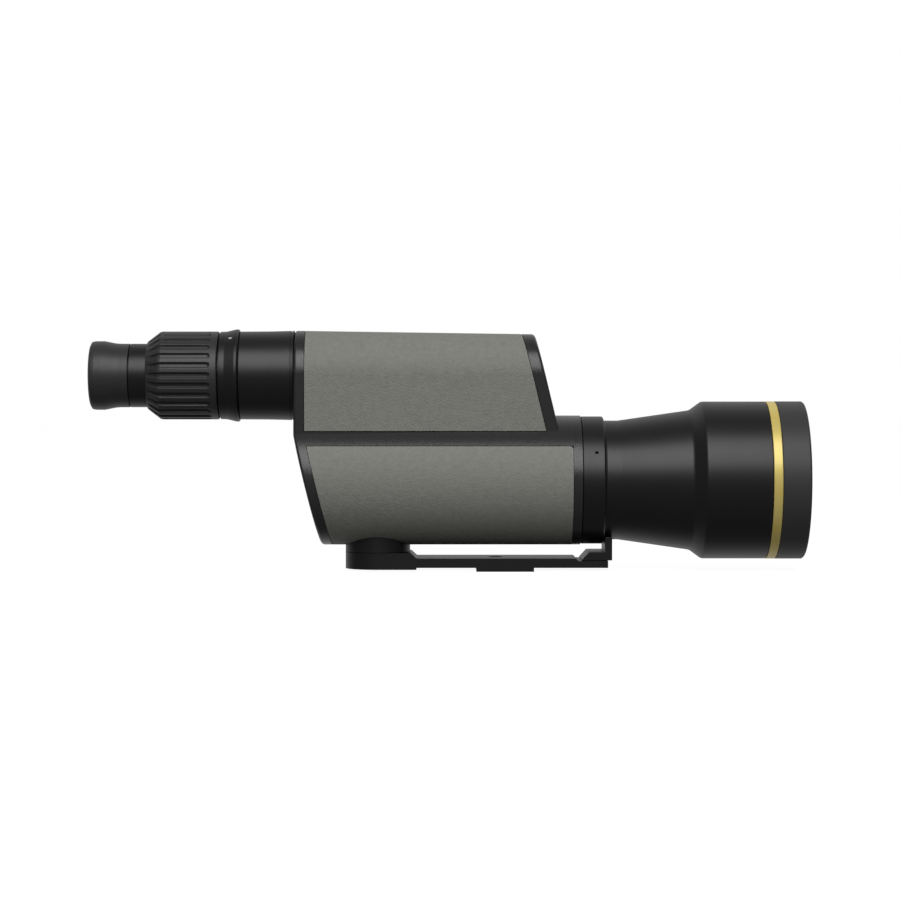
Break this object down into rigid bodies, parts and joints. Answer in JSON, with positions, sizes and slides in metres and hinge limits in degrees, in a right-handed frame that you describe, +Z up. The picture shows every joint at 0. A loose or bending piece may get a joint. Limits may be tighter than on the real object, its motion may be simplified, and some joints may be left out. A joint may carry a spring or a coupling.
{
  "type": "spotting scope",
  "caption": "Folded-path spotting scope: flared objective barrel, raised zoom eyepiece in line above it, slanted mirror walls, rubber inlays and a flat tripod foot.",
  "frame": {"origin": "centre of the tripod pad's bottom face", "axes": "+X forward along both optical axes, towards the objective; +Z up, from the tripod pad to the eyepiece; +Y to the left of a viewer at the eyepiece"},
  "size_m": [0.315, 0.0698, 0.1066],
  "materials": {
    "black_texture": "fine-textured black paint on a cast body",
    "grey_armor": "pebbled grey-green rubber armour",
    "black_anodised": "satin black anodised",
    "rubber": "matte black rubber",
    "gold": "bright gold anodised",
    "glass": "coated optical glass",
    "mirror": "front-silvered optical mirror",
    "steel": "dark oxide steel",
    "aluminium": "plain machined",
    "brass": "plain turned",
    "white_enamel": "white enamel fill"
  },
  "bodies": {
    "scope_body": {"body_housing": "black_texture", "upper_armor": "grey_armor", "lower_armor": "grey_armor", "rear_cover": "black_anodised", "front_cover": "black_anodised", "objective_barrel": "black_anodised", "barrel_collar": "black_anodised", "objective_baffle": "black_anodised", "lens_spacer_rear": "black_anodised", "lens_spacer_front": "black_anodised", "objective_retaining_ring": "black_anodised", "guide_tube": "black_anodised", "eyepiece_tube": "black_anodised", "foot_arm": "black_anodised", "mount_boss": "black_anodised", "saddle_block": "black_anodised", "hood_ring": "rubber", "saddle_pad": "rubber", "accent_ring": "gold", "objective_lens_rear": "glass", "objective_lens_middle": "glass", "objective_lens_front": "glass", "rear_mirror": "mirror", "front_mirror": "mirror", "collar_set_screw_1": "steel", "collar_set_screw_2": "steel", "collar_set_screw_3": "steel", "foot_screw": "steel", "saddle_screw_left": "steel", "saddle_screw_right": "steel", "rear_cover_screw_1": "steel", "rear_cover_screw_2": "steel", "rear_cover_screw_3": "steel", "rear_cover_screw_4": "steel", "front_cover_screw_1": "steel", "front_cover_screw_2": "steel", "front_cover_screw_3": "steel", "front_cover_screw_4": "steel", "rear_mirror_carrier": "aluminium", "front_mirror_carrier": "aluminium"},
    "focus_ring": {"focus_ring": "rubber"},
    "ocular": {"ocular_barrel": "black_anodised", "ocular_oring": "rubber", "eye_lens": "glass", "field_lens": "glass", "ocular_spacer": "black_anodised", "ocular_retaining_ring": "black_anodised"},
    "eyecup_guide": {"eyecup_guide": "aluminium"},
    "eyecup": {"eyecup": "rubber"},
    "power_ring": {"power_ring": "black_anodised", "power_index_dot": "white_enamel", "power_ring_screw": "steel", "cam_sleeve": "brass"},
    "front_erector": {"front_erector_cell": "brass", "front_erector_lens": "glass", "front_erector_pin": "steel"},
    "rear_erector": {"rear_erector_cell": "brass", "rear_erector_lens": "glass", "rear_erector_pin": "steel"}
  },
  "joints": [
    {"name": "power_turn", "type": "hinge", "parent": "scope_body", "child": "power_ring", "pos_m": [-0.1215, 0, 0.08616], "axis": [1, 0, 0], "range_deg": [0, 150]},
    {"name": "front_erector_travel", "type": "slide", "parent": "scope_body", "child": "front_erector", "axis": [1, 0, 0], "range_m": [-0.009, 0]},
    {"name": "rear_erector_travel", "type": "slide", "parent": "scope_body", "child": "rear_erector", "axis": [1, 0, 0], "range_m": [-0.004, 0]},
    {"name": "focus_turn", "type": "hinge", "parent": "scope_body", "child": "focus_ring", "pos_m": [-0.14, 0, 0.08616], "axis": [-1, 0, 0], "range_deg": [-120, 120]},
    {"name": "focus_travel", "type": "slide", "parent": "scope_body", "child": "ocular", "axis": [-1, 0, 0], "range_m": [-0.002, 0.002]},
    {"name": "eyecup_twist", "type": "hinge", "parent": "eyecup_guide", "child": "eyecup", "pos_m": [-0.175, 0, 0.08616], "axis": [-1, 0, 0], "range_deg": [0, 150]},
    {"name": "eyecup_rise", "type": "slide", "parent": "ocular", "child": "eyecup_guide", "axis": [-1, 0, 0], "range_m": [0, 0.006]}
  ],
  "couplings": [
    {"joint": "front_erector_travel", "follows": "power_turn", "m_per_rad": -0.0034377},
    {"joint": "rear_erector_travel", "follows": "power_turn", "m_per_rad": -0.0015278},
    {"joint": "focus_travel", "follows": "focus_turn", "m_per_rad": 0.00095492},
    {"joint": "eyecup_rise", "follows": "eyecup_twist", "m_per_rad": 0.0022918}
  ]
}
